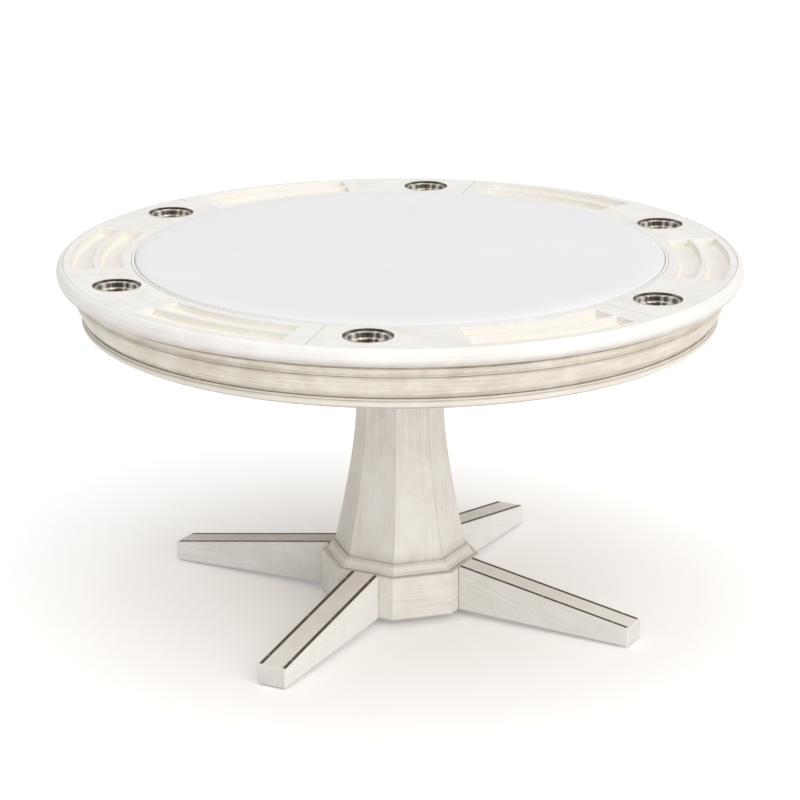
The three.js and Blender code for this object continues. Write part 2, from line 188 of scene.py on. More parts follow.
class Shape:
    """Points and faces in the making, with the values that the finish reads at each point."""

    LAYERS = ("across", "glaze", "cream", "pale", "wash")

    def __init__(self, wash=0.5, tint=0):
        """wash is how strongly the paint is brushed warm, and tint how creamy it is."""
        self.points, self.faces = [], []
        self.across, self.glaze, self.cream, self.pale, self.wash = [], [], [], [], []
        self.usual = tint, wash

    def add(self, point, across=0, glaze=0, cream=None, pale=0):
        """Adds a point. across is the distance across the brush strokes."""
        tint, wash = self.usual
        values = (across, glaze, tint if cream is None else cream, pale, wash)
        for label, value in zip(self.LAYERS, values):
            getattr(self, label).append(value)
        self.points.append(point)
        return len(self.points) - 1

    def join(self, loop_a, loop_b, closed=True):
        """Faces between two rows of points."""
        count = len(loop_a)
        for i in range(count if closed else count - 1):
            j = (i + 1) % count
            self.faces.append((loop_a[i], loop_a[j], loop_b[j], loop_b[i]))

    def grid_face(self, layer, i, j):
        """One cell of a grid of points."""
        self.faces.append((layer[i, j], layer[i + 1, j], layer[i + 1, j + 1], layer[i, j + 1]))

    def loft(self, loops, ring=False):
        """A closed body through a list of loops, or right round where ring is set."""
        for loop_a, loop_b in pairwise(loops):
            self.join(loop_a, loop_b)
        if ring:
            self.join(loops[-1], loops[0])
        else:
            self.faces.append(tuple(reversed(loops[0])))
            self.faces.append(tuple(loops[-1]))


def link(name, data):
    """A new object in the scene."""
    made = bpy.data.objects.new(name, data)
    bpy.context.scene.collection.objects.link(made)
    return made


def make_piece(name, shape, node=None, slot="painted_wood", body="table", sharp=32):
    """A finished object from a shape, riding on its body and standing for its CAD node."""
    mesh = bpy.data.meshes.new(name)
    mesh.from_pydata(shape.points, [], shape.faces)
    for label in Shape.LAYERS:
        layer = mesh.attributes.new(label, "FLOAT", "POINT")
        layer.data.foreach_set("value", getattr(shape, label))
    work = bmesh.new()
    work.from_mesh(mesh)
    bmesh.ops.remove_doubles(work, verts=work.verts, dist=1e-6)
    bmesh.ops.dissolve_degenerate(work, edges=work.edges, dist=1e-7)
    bmesh.ops.recalc_face_normals(work, faces=work.faces)
    work.to_mesh(mesh)
    work.free()
    mesh.shade_smooth()
    mesh.set_sharp_from_angle(angle=radians(sharp))
    mesh.materials.append(FINISHES[slot])
    piece = link(name, mesh)
    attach(piece, body)
    if node:
        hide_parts(node)
    return piece


def outline_lengths(outline):
    """Distance along an outline to each of its points."""
    lengths = [0]
    for a, b in pairwise(outline):
        lengths.append(lengths[-1] + hypot(b[0] - a[0], b[1] - a[1]))
    return lengths


def turned(shape, outline, sides, centre=(0, 0), closed=True):
    """Turns an outline of (radius, height, glaze) points about a vertical axis.

    A closed outline makes a ring. An open one starts and ends on the axis.
    """
    lengths = outline_lengths(outline)
    loops = []
    for i in range(sides):
        way = direction(360 * i / sides)
        loop = []
        for (radius, height, glaze), across in zip(outline, lengths):
            point = way * radius + Vector((centre[0], centre[1], height))
            loop.append(shape.add(point, across, glaze))
        loops.append(loop)
    for i in range(sides):
        shape.join(loops[i], loops[(i + 1) % sides], closed=closed)


def ring_moulding(name, node, outline, wash, tint=0):
    """A painted ring about the table's axis."""
    shape = Shape(wash, tint)
    turned(shape, outline, RING_SIDES)
    make_piece(name, shape, node)


# ---- materials


class Nodes:
    """Short names for building a material's node tree."""

    LONG_NAMES = {"color": "Base Color", "specular": "Specular IOR Level", "sheen": "Sheen Weight"}

    def __init__(self, name):
        self.material = bpy.data.materials.new(name)
        self.material.use_nodes = True
        self.tree = self.material.node_tree
        self.tree.nodes.clear()
        self.shader = self.make("ShaderNodeBsdfPrincipled")
        self.make("ShaderNodeOutputMaterial", {"Surface": self.shader.outputs["BSDF"]})

    def make(self, kind, inputs=None, **settings):
        """A new node with its settings, and its inputs by name or number."""
        made = self.tree.nodes.new(kind)
        for key, value in settings.items():
            setattr(made, key, value)
        for key, value in (inputs or {}).items():
            self.put(made.inputs[key], value)
        return made

    def put(self, socket, value):
        """Sets an input to a number or colour, or links it to an output."""
        if isinstance(value, bpy.types.NodeSocket):
            self.tree.links.new(value, socket)
        elif isinstance(value, tuple) and len(socket.default_value) == 4:
            socket.default_value = (*value[:3], 1)
        else:
            socket.default_value = value

    def math(self, operation, *values, clamp=False):
        inputs = dict(enumerate(values))
        return self.make("ShaderNodeMath", inputs, operation=operation, use_clamp=clamp).outputs[0]

    def place(self):
        """The point on the object, in its own frame."""
        return self.make("ShaderNodeTexCoord").outputs["Object"]

    def attribute(self, name):
        return self.make("ShaderNodeAttribute", attribute_name=name).outputs["Fac"]

    def scaled(self, vector, factors):
        inputs = {0: vector, 1: factors}
        return self.make("ShaderNodeVectorMath", inputs, operation="MULTIPLY").outputs[0]

    def noise(self, vector, scale, detail=3, roughness=0.55, w=None):
        inputs = {"Vector": vector, "Scale": scale, "Detail": detail, "Roughness": roughness}
        kind = "3D"
        if w is not None:
            kind = "4D"
            inputs["W"] = w
        return self.make("ShaderNodeTexNoise", inputs, noise_dimensions=kind).outputs["Fac"]

    def strokes(self, scale, fineness, detail=2):
        """Noise that changes fast across the brush strokes, and slowly along them."""
        across = self.math("MULTIPLY", self.attribute("across"), fineness)
        return self.noise(self.place(), scale, detail, w=across)

    def span(self, value, low, high, to_low=0, to_high=1):
        """Stretches a value from one range to another, clamped."""
        inputs = dict(enumerate((value, low, high, to_low, to_high)))
        return self.make("ShaderNodeMapRange", inputs).outputs[0]

    def blend(self, factor, first, second):
        """A mix of two colours."""
        inputs = {"Factor": factor, 6: first, 7: second}
        return self.make("ShaderNodeMix", inputs, data_type="RGBA").outputs[2]

    def bump(self, height, distance, strength):
        inputs = {"Strength": strength, "Distance": distance, "Height": height}
        normal = self.make("ShaderNodeBump", inputs).outputs["Normal"]
        self.put(self.shader.inputs["Normal"], normal)

    def set(self, **values):
        """Sets the shader's inputs."""
        for key, value in values.items():
            name = self.LONG_NAMES.get(key, key.replace("_", " ").title())
            self.put(self.shader.inputs[name], value)


def painted_wood(n):
    """Antique white paint with a warm glaze, brushed along the piece and left in its joints."""
    place = n.place()
    wash = n.attribute("wash")
    clouds = n.noise(place, 4.5, detail=4)
    blotches = n.noise(place, 15, detail=4, roughness=0.65)
    streaks = n.strokes(7, 62, detail=3)
    strokes = n.strokes(12, 260)
    bristles = n.strokes(16, 900)
    clouded = n.span(clouds, 0.34, 0.64, 0.25, 1)
    brushed = n.math("MULTIPLY", n.span(streaks, 0.34, 0.68, 0, 0.8), clouded)
    brushed = n.math("MULTIPLY_ADD", n.span(blotches, 0.34, 0.68), 0.46, brushed)
    brushed = n.math("MULTIPLY_ADD", n.span(strokes, 0.36, 0.76), 0.15, brushed)
    brushed = n.math("MULTIPLY_ADD", n.span(bristles, 0.38, 0.78), 0.08, brushed)
    amount = n.math("MULTIPLY", n.span(brushed, 0.22, 1.05), wash, clamp=True)
    white = (0.835, 0.824, 0.8)
    warm = (0.54, 0.478, 0.405)
    cream = (0.7, 0.635, 0.52)
    pale = (0.92, 0.885, 0.8)
    brown = (0.235, 0.165, 0.105)
    paint = n.blend(amount, white, warm)
    paint = n.blend(n.math("MULTIPLY", n.attribute("cream"), 0.7), paint, cream)
    # The pale layer is painted light: paler paint on the chip trays' walls and on some legs' tops.
    paint = n.blend(n.attribute("pale"), paint, pale)
    patchy = n.span(n.noise(place, 24), 0.34, 0.66, 0.72, 1.12)
    # The glaze layer is brown glaze left in joints, and in places painted shade: under the nosing,
    # at the cove's top, on one leg's top.
    soaked = n.math("MULTIPLY", n.attribute("glaze"), patchy, clamp=True)
    paint = n.blend(soaked, paint, brown)
    cells = n.make("ShaderNodeTexVoronoi", {"Vector": place, "Scale": 9}, feature="F1")
    chosen = n.make("ShaderNodeSeparateColor", {0: cells.outputs["Color"]})
    rare = n.math("GREATER_THAN", chosen.outputs[0], 0.86)
    speck = n.span(cells.outputs["Distance"], 0.012, 0.022, 1, 0)
    n.set(color=n.blend(n.math("MULTIPLY", n.math("MULTIPLY", speck, rare), 0.8), paint, brown))
    n.set(roughness=n.span(strokes, 0.3, 0.7, 0.44, 0.58), specular=0.22)
    n.bump(n.math("MULTIPLY_ADD", bristles, 0.5, strokes), 0.12 * MM, 0.5)


def playing_fabric(n):
    """A fine plain weave, drawn tight."""
    place = n.place()
    threads = []
    for axis in ("X", "Y"):
        inputs = {"Vector": place, "Scale": 260, "Distortion": 0.6, "Detail": 1}
        wave = n.make("ShaderNodeTexWave", inputs, wave_type="BANDS", bands_direction=axis)
        threads.append(wave.outputs["Fac"])
    weave = n.math("MAXIMUM", *threads)
    fluff = n.noise(place, 420, detail=2)
    clouds = n.noise(place, 3.2)
    height = n.math("MULTIPLY_ADD", fluff, 0.5, weave)
    white = n.blend(n.span(clouds, 0.3, 0.7), (0.755, 0.757, 0.772), (0.785, 0.785, 0.795))
    n.set(color=n.blend(n.span(height, 0.2, 1.2), (0.7, 0.702, 0.715), white))
    n.set(roughness=0.82, specular=0.25, sheen=0.15, sheen_roughness=0.4)
    n.bump(height, 0.12 * MM, 0.45)


def bare_wood(n):
    """Unfinished plywood and hardwood, its grain along X."""
    grain_place = n.scaled(n.place(), (2, 26, 26))
    grain = n.noise(grain_place, 2.6, detail=5, roughness=0.62)
    pores = n.noise(n.scaled(n.place(), (20, 420, 420)), 1, detail=2)
    color = n.blend(n.span(grain, 0.32, 0.68), (0.66, 0.53, 0.37), (0.5, 0.375, 0.24))
    n.set(color=n.blend(n.span(pores, 0.55, 0.75, 0, 0.35), color, (0.28, 0.18, 0.09)))
    n.set(roughness=n.span(grain, 0.3, 0.7, 0.6, 0.8), specular=0.25)
    n.bump(pores, 0.15 * MM, 0.4)


def polished_steel(n):
    """Spun stainless sheet with painted reflections: bright ledges, dark walls, highlight bands.
    """
    place = n.place()
    rings = n.strokes(0.5, 1500)
    smears = n.noise(place, 24)
    # Painted reflections: the glaze layer darkens the steel from the bright colour to the dark one
    # where it would reflect dark surroundings.
    bright = n.blend(n.span(smears, 0.3, 0.7), (0.9, 0.865, 0.775), (0.97, 0.945, 0.88))
    dark = n.blend(n.span(rings, 0.35, 0.65), (0.034, 0.027, 0.014), (0.12, 0.097, 0.056))
    n.set(color=n.blend(n.attribute("glaze"), bright, dark))
    # The pale layer paints highlights: there the steel turns to a near-white, mostly diffuse
    # surface.
    n.set(metallic=n.span(n.attribute("pale"), 0, 1, 0.88, 0.25))
    n.set(roughness=n.span(smears, 0.3, 0.75, 0.1, 0.2))
    n.bump(rings, 0.02 * MM, 0.25)


def aged_bronze(n):
    """Dark antique bronze, darker still along its edges, rubbed bright on the pins."""
    place = n.place()
    mottle = n.noise(place, 70, detail=4, roughness=0.6)
    rub = n.math("MULTIPLY", n.attribute("glaze"), n.span(mottle, 0.35, 0.65, 0.3, 1))
    dark = n.blend(n.span(mottle, 0.35, 0.68), (0.095, 0.074, 0.058), (0.185, 0.146, 0.116))
    dark = n.blend(rub, dark, (0.03, 0.023, 0.018))
    n.set(color=n.blend(n.attribute("pale"), dark, (0.46, 0.41, 0.35)))
    n.set(metallic=0.35, roughness=n.span(mottle, 0.3, 0.7, 0.48, 0.66), specular=0.3)
    n.bump(mottle, 0.08 * MM, 0.4)


def zinc_steel(n):
    """Zinc-plated steel with a faint spangle."""
    spangle = n.noise(n.place(), 260, detail=2)
    n.set(color=n.blend(n.span(spangle, 0.35, 0.65), (0.42, 0.42, 0.41), (0.56, 0.555, 0.53)))
    n.set(metallic=1, roughness=n.span(spangle, 0.3, 0.7, 0.28, 0.45))
    n.bump(spangle, 0.03 * MM, 0.3)


def leveler_plastic(n):
    """Black nylon with a moulded grain."""
    grain = n.noise(n.place(), 900, detail=2)
    n.set(color=n.blend(n.span(grain, 0.3, 0.7), (0.022, 0.022, 0.023), (0.042, 0.042, 0.043)))
    n.set(roughness=n.span(grain, 0.3, 0.7, 0.42, 0.6))
    n.bump(grain, 0.05 * MM, 0.5)


FINISHES = {}
for finish in (
    painted_wood, playing_fabric, bare_wood, polished_steel, aged_bronze, zinc_steel,
    leveler_plastic,
):
    nodes = Nodes(finish.__name__)
    finish(nodes)
    FINISHES[finish.__name__] = nodes.material


# ---- table top

# How the rail's surface drops, in millimetres, against the distance in from
# an edge: a channel's long sides, its ends, and the segment's own edges.
CHANNEL_SIDE = (
    (-1.3, 0), (-0.8, 0.08), (-0.35, 0.4), (0, 1.1), (0.12, 11.9), (0.5, 13),
    (1.4, 13.9), (4.5, 14.7), (10, 16.2), (16, 17.1), (23.5, 17.5),
)
CHANNEL_END = (
    (-1.3, 0), (-0.8, 0.08), (-0.35, 0.4), (0, 1.1), (0.12, 14.8), (0.5, 16.3),
    (1.4, 17.3), (3.5, 17.5),
)
RAIL_EDGE = ((0, 0.6), (0.15, 0.34), (0.45, 0.12), (0.9, 0.02), (1.6, 0))
TRAY_MIDDLE_RADIUS = 0.6325


def arc_angle(distance, radius=TRAY_MIDDLE_RADIUS):
    """The angle that an arc of this length covers."""
    return degrees(distance / radius)


def arc_length(angle):
    """The length in millimetres of an arc through the middle of the tray."""
    return radians(angle) * TRAY_MIDDLE_RADIUS / MM


def tray_depth(radius, angle):
    """Depth of the chip tray below the rail's top, in millimetres."""
    from_end = arc_length(min(angle - TRAY_START, TRAY_END - angle))
    deepest = 0.0
    for inner in CHANNEL_INNER_RADII:
        from_side = min(radius - inner, inner + CHANNEL_WIDTH - radius) / MM
        side_depth = interpolate(CHANNEL_SIDE, from_side)
        deepest = max(deepest, min(side_depth, interpolate(CHANNEL_END, from_end)))
    return deepest


def inward(start, end, table, unit, digits):
    """A table's distances, in this unit, measured in from both ends of a range."""
    return {round(v, digits) for d, _ in table for v in (start + d * unit, end - d * unit)}


def rail_radii(extra):
    """The circles that the rail's mesh needs, closest where its surface turns."""
    lines = set(extra) | inward(RAIL_INNER, RAIL_OUTER, RAIL_EDGE, MM, 6)
    for inner in CHANNEL_INNER_RADII:
        lines |= inward(inner, inner + CHANNEL_WIDTH, CHANNEL_SIDE, MM, 6)
    return sorted(lines)


def rail_angles(extra, seam_gap):
    """The angles that a segment's mesh needs, measured from its seam."""
    unit = arc_angle(MM)
    lines = set(extra) | inward(TRAY_START, TRAY_END, CHANNEL_END, unit, 5)
    lines |= inward(seam_gap, SEGMENT_ANGLE - seam_gap, RAIL_EDGE, unit, 5)
    step, least_gap = 1.25, 0.45
    for i in range(1, int(SEGMENT_ANGLE / step)):
        if all(abs(i * step - line) > least_gap for line in lines):
            lines.add(i * step)
    return sorted(lines)


def rail_segment(number, seam):
    """One sixth of the rail: a flat top with a round hole for the cup and two routed channels."""
    hole_radius = 47.9 * MM
    patch_half = 55 * MM
    patch_radii = (CUP_PITCH_RADIUS - patch_half, CUP_PITCH_RADIUS + patch_half)
    half_angle = arc_angle(patch_half, CUP_PITCH_RADIUS)
    patch_angles = (round(CUP_ANGLE - half_angle, 5), round(CUP_ANGLE + half_angle, 5))
    seam_gap = arc_angle(0.1 * MM)
    radii = rail_radii(patch_radii)
    angles = rail_angles(patch_angles, seam_gap)
    shape = Shape(wash=0.3)

    def in_patch(radius, angle):
        """True in the patch round the cup's hole, which has a mesh of its own."""
        (near, far), (start, end) = patch_radii, patch_angles
        return near < radius < far and start < angle < end

    def surface(radius, angle):
        """The drop from the rail's flat top, and the point's glaze, cream and pale, the pale being
        painted light.
        """
        from_side = min(radius - RAIL_INNER, RAIL_OUTER - radius) / MM
        from_seam = arc_length(min(angle, SEGMENT_ANGLE - angle) - seam_gap)
        edge = max(interpolate(RAIL_EDGE, from_side), interpolate(RAIL_EDGE, from_seam))
        tray = tray_depth(radius, angle)
        glaze = 0.5 * (1 - smoothstep(0.3, 1.3, from_seam))
        glaze = max(glaze, 0.3 * (1 - smoothstep(0.2, 1.1, from_side)))
        # Painted light: the channels' walls go pale so they read as bright as the rail's top,
        # though they stand in shade.
        wall = smoothstep(0.5, 3, tray) * (1 - smoothstep(13.8, 16.5, tray))
        floor_tone = smoothstep(13, 15, tray)
        foot = smoothstep(11.5, 13.2, tray) * (1 - smoothstep(13.4, 15.5, tray))
        glaze = max(glaze, 0.1 * foot, 0.035 * floor_tone)
        return max(edge, tray) * MM, glaze, 0.22 * floor_tone, wall

    top, under = {}, {}
    for (i, radius), (j, angle) in product(enumerate(radii), enumerate(angles)):
        if not in_patch(radius, angle):
            drop, *tones = surface(radius, angle)
            across = radius + drop
            point = spot(seam + angle, radius, 0, RAIL_TOP - drop)
            top[i, j] = shape.add(point, across, *tones)
            under[i, j] = shape.add(spot(seam + angle, radius, 0, RAIL_BOTTOM), across)
    last_i, last_j = len(radii) - 1, len(angles) - 1
    for i, j in product(range(last_i), range(last_j)):
        if not in_patch((radii[i] + radii[i + 1]) / 2, (angles[j] + angles[j + 1]) / 2):
            shape.grid_face(top, i, j)
            shape.grid_face(under, i, j)
    rim = border(0, last_i, 0, last_j)
    shape.join([top[key] for key in rim], [under[key] for key in rim])

    patch = border(
        *(radii.index(radius) for radius in patch_radii),
        *(angles.index(angle) for angle in patch_angles),
    )
    centre = direction(seam + CUP_ANGLE) * CUP_PITCH_RADIUS
    circles = []
    for layer, height in ((top, RAIL_TOP), (under, RAIL_BOTTOM)):
        circle = []
        for key in patch:
            away = Vector(shape.points[layer[key]]) - centre
            away.z = 0
            point = centre + away.normalized() * hole_radius + Vector((0, 0, height))
            circle.append(shape.add(point, radii[key[0]]))
        shape.join([layer[key] for key in patch], circle)
        circles.append(circle)
    shape.join(*circles)
    make_piece(f"rail_{number}", shape, f"rail_segment_{number}")


def edge_nosing():
    """The rounded edge, half an ellipse, with a scribe line where it meets the rail."""
    inner = RAIL_OUTER + 0.4 * MM
    flat = inner + 0.6 * MM
    middle = (RAIL_TOP + NOSING_BOTTOM) / 2
    half_height = (RAIL_TOP - NOSING_BOTTOM) / 2
    depth = TOP_RADIUS - flat
    outline = [(inner, NOSING_BOTTOM + 0.5 * MM, 0.95), (inner + 0.3 * MM, NOSING_BOTTOM, 0.9)]
    for step in range(23):
        turn = pi * (step / 22 - 0.5)
        radius = flat + depth * cos(turn)
        under = -sin(turn)
        # Painted shade: the paint darkens round towards the nosing's underside, most along its
        # lowest edge over the cove.
        glaze = 0.4 * smoothstep(-0.05, 0.9, under) + 0.4 * smoothstep(0.84, 1, under)
        outline.append((radius, middle + half_height * sin(turn), glaze))
    outline += [(inner + 0.25 * MM, RAIL_TOP - 0.1 * MM, 0.2), (inner, RAIL_TOP - 0.4 * MM, 0.3)]
    ring_moulding("nosing", "edge_nosing", outline, 0.3)


def inner_bead():
    """The thin bead between the rail and the panel."""
    outer, shoulder = BEAD_RADIUS / MM, PANEL_RADIUS / MM + 0.2
    inner = outer - 5.1
    corners = metres(BEAD_BOTTOM, [(inner, 0, 0, 0), (outer, 0, 0, 0.3)])
    corners += metres(BEAD_TOP, [
        (outer, -2, 0, 0.3), (outer, 0, 1.6, 0.05), (inner, 0, 0.8, 0), (inner, -1, 0.2, 0),
        (shoulder, -1.2, 0.2, 0), (shoulder, -3, 0, 0), (inner, -3.6, 0, 0),
    ])
    ring_moulding("rail_bead", "inner_bead", rounded(corners), 0.16)


def cup_liner(number):
    """A spun cup with two steps and a rolled flange, its outline in mm from the rail's top."""
    node = f"cup_liner_{number}"
    low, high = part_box(node)
    centre = ((low.x + high.x) / 2, (low.y + high.y) / 2)
    bottom = (low.z - RAIL_TOP) / MM
    floor = bottom + 0.9
    rim, step, seat = -3.6, -14, 0.25
    # The fourth value of each corner is how dark the steel's painted reflection is there.
    corners = [
        # outside, from the middle of the bottom up to the flange
        (0, bottom, 0, 0.4), (34.3, bottom, 4, 0.4), (34.3, step - 0.9, 0.8, 0.4),
        (39.9, step - 0.4, 1.5, 0.4), (39.9, rim - 0.9, 0.8, 0.4), (46.9, rim - 0.4, 1.5, 0.4),
        (46.9, seat, 0.3, 0.4), (49.3, seat, 0.5, 0.2), (49.3, seat + 1, 0.5, 0.2),
        # inside: the flange's top, the rim's wall and ledge
        (48.9, seat + 1.25, 0.2, 0.6), (48.3, seat + 1, 0.3, 1), (46, seat - 0.4, 0.6, 1),
        (45.8, rim + 0.9, 0, 1), (45.7, rim + 0.2, 0.4, 0.4), (44.7, rim, 0, 0),
        (39.5, rim, 0.3, 0),
        # the step's wall and ledge
        (39, rim - 0.4, 0, 0.9), (38.9, rim - 1, 0, 1), (38.8, rim - 3, 0, 0.68),
        (38.7, step + 0.9, 0, 0.74), (38.6, step + 0.2, 0.4, 0.6), (37.1, step, 0, 0.45),
        (35.5, step, 0, 0.1), (34.3, step, 0, 0), (33.8, step, 0.2, 0.5),
        # the deep wall and the floor with its raised ring
        (33.4, step - 0.4, 0, 0.85), (33.3, step - 4, 0, 0.7), (33.1, step - 10, 0, 0.74),
        (32.9, bottom + 8, 0, 1), (32.9, floor, 5, 0.7), (24, floor, 0, 0.3),
        (23, floor + 0.63, 0.6, 0.1), (22, floor, 0, 0.3), (0, floor, 0, 0.3),
    ]
    shape = Shape()
    outline = rounded(metres(RAIL_TOP, corners), steps=5)
    widest = max(range(len(outline)), key=lambda k: outline[k][0])
    above_ledge = RAIL_TOP + (rim + 0.3) * MM
    sides = 96
    turned(shape, outline, sides, centre, closed=False)
    # Painted reflections: round each cup the walls darken by direction, and the pale layer paints
    # highlight bands on the lower walls.
    for side in range(sides):
        wall, rim_reflection_darkness = painted_reflection_darkness(360 * side / sides)
        for k, (radius, height, glaze) in enumerate(outline):
            point = side * len(outline) + k
            shape.glaze[point] = glaze * (rim_reflection_darkness if height > above_ledge else wall)
            if k > widest and height < above_ledge and radius > 25 * MM:
                shape.pale[point] = (1 - wall) ** 1.5
    make_piece(f"cup_{number}_liner", shape, node, "polished_steel", f"cup_{number}", 50)


# Painted highlights in bands on a liner's wall, standing in for reflections: the angle
# from the back towards +X, the width and the brightness.
PAINTED_HIGHLIGHT_BANDS = (
    (-47, 12, 1), (-24, 4, 0.5), (18, 5, 0.9), (44, 11, 1), (138, 12, 0.8), (205, 9, 0.7),
)


def painted_reflection_darkness(angle):
    """How dark a liner's painted reflections are on its lower walls and top wall in a direction,
    from 0 to 1.
    """
    bright = 0.0
    for band, width, strength in PAINTED_HIGHLIGHT_BANDS:
        off = (angle + band) % 360 - 180
        bright += strength * exp(-((off / width) ** 2))
    aside = abs(angle - 180)
    return 1.0 - min(bright, 1), 1.0 - 0.35 * exp(-(((aside - 56) / 14) ** 2))


# ---- padded playing panel


def disc_point(u, v, radius):
    """Maps a square from -1 to 1 onto a disc with even cells."""
    if u == 0 and v == 0:
        return Vector((0, 0, 0))
    if abs(u) >= abs(v):
        reach, turn = u, pi / 4 * v / u
    else:
        reach, turn = v, pi / 2 - pi / 4 * u / v
    return Vector((cos(turn), sin(turn), 0)) * reach * radius


def panel_shape(cells):
    """The pad before it is stuffed: two flat faces joined by a rolled edge.

    Its glaze says how firmly the simulation holds each point.
    """
    roll, fall = 21 * MM, 5.6 * MM
    crown = PANEL_TOP - 0.9 * MM
    flat_radius = PANEL_RADIUS - roll - 0.5 * MM
    shape = Shape()
    layers = []
    for height in (crown, PANEL_BOTTOM + 0.6 * MM):
        layer = {}
        for i, j in product(range(cells + 1), repeat=2):
            point = disc_point(2 * i / cells - 1, 2 * j / cells - 1, flat_radius)
            point.z = height
            layer[i, j] = shape.add(point, 0, 0.0 if height == crown else 1)
        for i, j in product(range(cells), repeat=2):
            shape.grid_face(layer, i, j)
        layers.append(layer)
    rim = border(0, cells, 0, cells)
    edge = [
        (flat_radius + roll * s, crown - fall * (1 - c), fixed)
        for (c, s), fixed in zip(arc(22, 42, 60, 76, 90), (0, 0, 0.2, 0.5, 0.8))
    ]
    edge.append((flat_radius + roll, PANEL_BOTTOM + 3 * MM, 1))
    edge.append((flat_radius + roll - 1 * MM, PANEL_BOTTOM + 0.8 * MM, 1))
    above = [layers[0][key] for key in rim]
    for reach, height, fixed in edge:
        loop = []
        for key in rim:
            outward = shape.points[layers[0][key]].xy.normalized()
            loop.append(shape.add(Vector((*(outward * reach), height)), 0, fixed))
        shape.join(above, loop)
        above = loop
    shape.join(above, [layers[1][key] for key in rim])
    return shape


def stuff(piece, fixed, cap, pressure):
    """Fills a closed skin by cloth simulation. No point moves further than cap."""
    rest = [v.co.copy() for v in piece.data.vertices]
    group = piece.vertex_groups.new(name="fixed")
    for index, weight in enumerate(fixed):
        if weight > 0:
            group.add([index], weight, "REPLACE")
    cloth = piece.modifiers.new("cloth", "CLOTH")
    settings = cloth.settings
    settings.quality = 5
    settings.mass = 0.3
    settings.tension_stiffness = settings.compression_stiffness = 18
    settings.shear_stiffness = 6
    settings.bending_stiffness = 0.8
    settings.vertex_group_mass = group.name
    settings.use_pressure = True
    settings.uniform_pressure_force = pressure
    settings.effector_weights.gravity = 0
    cloth.collision_settings.use_collision = False
    steps = 20
    cloth.point_cache.frame_start = 1
    cloth.point_cache.frame_end = steps
    scene = bpy.context.scene
    for step in range(1, steps + 1):
        scene.frame_set(step)
    graph = bpy.context.evaluated_depsgraph_get()
    swollen = piece.evaluated_get(graph).to_mesh()
    moved = [v.co.copy() for v in swollen.vertices]
    piece.evaluated_get(graph).to_mesh_clear()
    piece.modifiers.remove(cloth)
    scene.frame_set(1)
    for vertex, before, after in zip(piece.data.vertices, rest, moved):
        shift = after - before
        if shift.length > 1e-9:
            shift *= cap * tanh(shift.length / cap) / shift.length
        vertex.co = before + shift
    piece.vertex_groups.clear()


def playing_panel():
    """The panel: cloth drawn over foam, with a rolled edge."""
    shape = panel_shape(64)
    fixed = list(shape.glaze)
    shape.glaze = [0] * len(fixed)
    piece = make_piece("playing_panel", shape, "panel_pad", "playing_fabric", sharp=60)
    stuff(piece, fixed, 0.9 * MM, 1.5)
    smooth = piece.modifiers.new("smooth", "SUBSURF")
    smooth.levels = smooth.render_levels = 1
    graph = bpy.context.evaluated_depsgraph_get()
    piece.data = bpy.data.meshes.new_from_object(piece.evaluated_get(graph))
    piece.modifiers.clear()
    piece.data.shade_smooth()


# ---- apron


def apron_cove():
    """The hollow moulding under the nosing, with a fillet above and below."""
    corners = metres(COVE_BOTTOM, [
        (673.5, 0, 0, 0.3), (679.5, 0, 0, 0.9), (681.2, 0.5, 0, 0.75), (681.8, 1.4, 0, 0.25),
        (681.8, 3.4, 0.8, 0), (680.2, 4.6, 0.6, 0.06), (680.3, 8, 3, 0), (681.6, 12.5, 2.5, 0),
    ])
    # The cove's top, just under the nosing, darkens: partly glaze left in the joint, partly
    # painted shade from the nosing's overhang.
    corners += metres(COVE_TOP, [
        (685, -10.5, 1, 0.05), (686, -8.8, 0.6, 0.3), (686.6, -7.6, 0.5, 0.75),
        (687.8, -4.6, 0.8, 0.85), (689, 0, 0, 1), (673.5, 0, 0, 0.5),
    ])
    ring_moulding("apron_cove_ring", "apron_cove", rounded(corners), 1.5, 0.65)


def apron_band():
    """A wide, slightly rounded band that leans in towards its foot, and a small cove below."""
    outline = [(0.65, BAND_BOTTOM, 0.2), (0.6585, BAND_BOTTOM, 0.55)]
    outline.append((0.6595, BAND_BOTTOM + 0.6 * MM, 0.4))
    low, high = BAND_BOTTOM + 6.5 * MM, BAND_TOP - 0.8 * MM
    for (c, s), glaze in zip(arc(18, 36, 54, 72, 90), (0.22, 0.18, 0.14, 0.1, 0.06)):
        outline.append((0.6598 + 3.4 * MM * (1 - c), BAND_BOTTOM + (0.8 + 4.4 * s) * MM, glaze))
    outline += [(0.6634, low - 0.9 * MM, 0.35), (0.664, low - 0.3 * MM, 0.35)]
    for rise in (0, 0.8, 1.6, 3, 5, 8, 12, 16, 20, 24, 28, 32, 35, 37, 38.5):
        t = rise * MM / (high - low)
        lean = 0.6648 + 15.2 * MM * t + 2.6 * MM * sin(pi * t)
        glaze = 0.2 * (1 - smoothstep(1, 9, rise)) + 0.3 * smoothstep(33, 38.5, rise)
        outline.append((lean, low + rise * MM, glaze))
    outline += [(0.6796, BAND_TOP - 0.25 * MM, 0.6), (0.6785, BAND_TOP, 0.9)]
    outline += [(0.6685, BAND_TOP, 0), (0.6625, BAND_TOP - 23 * MM, 0)]
    ring_moulding("apron_band_ring", "apron_band", outline, 1.5, 0.65)


